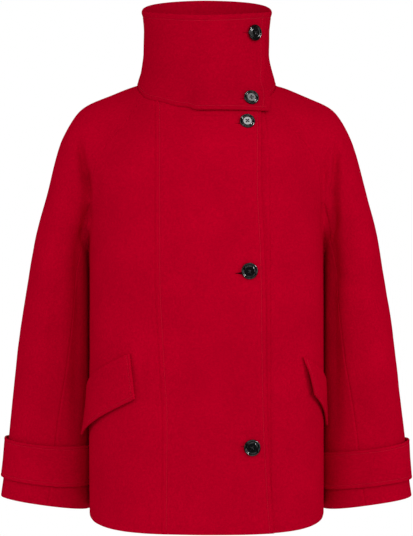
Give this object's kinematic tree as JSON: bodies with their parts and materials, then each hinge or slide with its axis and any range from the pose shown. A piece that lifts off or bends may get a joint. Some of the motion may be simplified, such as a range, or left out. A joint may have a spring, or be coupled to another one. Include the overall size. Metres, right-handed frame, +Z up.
{
  "type": "coat",
  "caption": "Short red wool funnel neck coat, filled out as worn, with a wrapped collar, black front buttons, raglan sleeves with stitched cuff bands and slanted pocket flaps",
  "frame": {"origin": "middle of the neck base, where the coat hangs from the wearer's neck and shoulders", "axes": "+Z up, front faces -Y, +X is the wearer's left"},
  "size_m": [0.663, 0.2986, 0.846],
  "materials": {
    "red_wool": "matte",
    "black_button": "gloss"
  },
  "bodies": {
    "root": {"front_panel_right": "red_wool", "side_front_right": "red_wool", "front_panel_left": "red_wool", "side_front_left": "red_wool", "back_panel": "red_wool", "top_sleeve_right": "red_wool", "top_sleeve_left": "red_wool", "under_sleeve_right": "red_wool", "under_sleeve_left": "red_wool", "cuff_band_right": "red_wool", "cuff_band_left": "red_wool", "collar": "red_wool", "pocket_flap_right": "red_wool", "pocket_flap_left": "red_wool", "button_1": "black_button", "button_2": "black_button", "button_3": "black_button", "button_4": "black_button", "button_5": "black_button"}
  },
  "joints": []
}
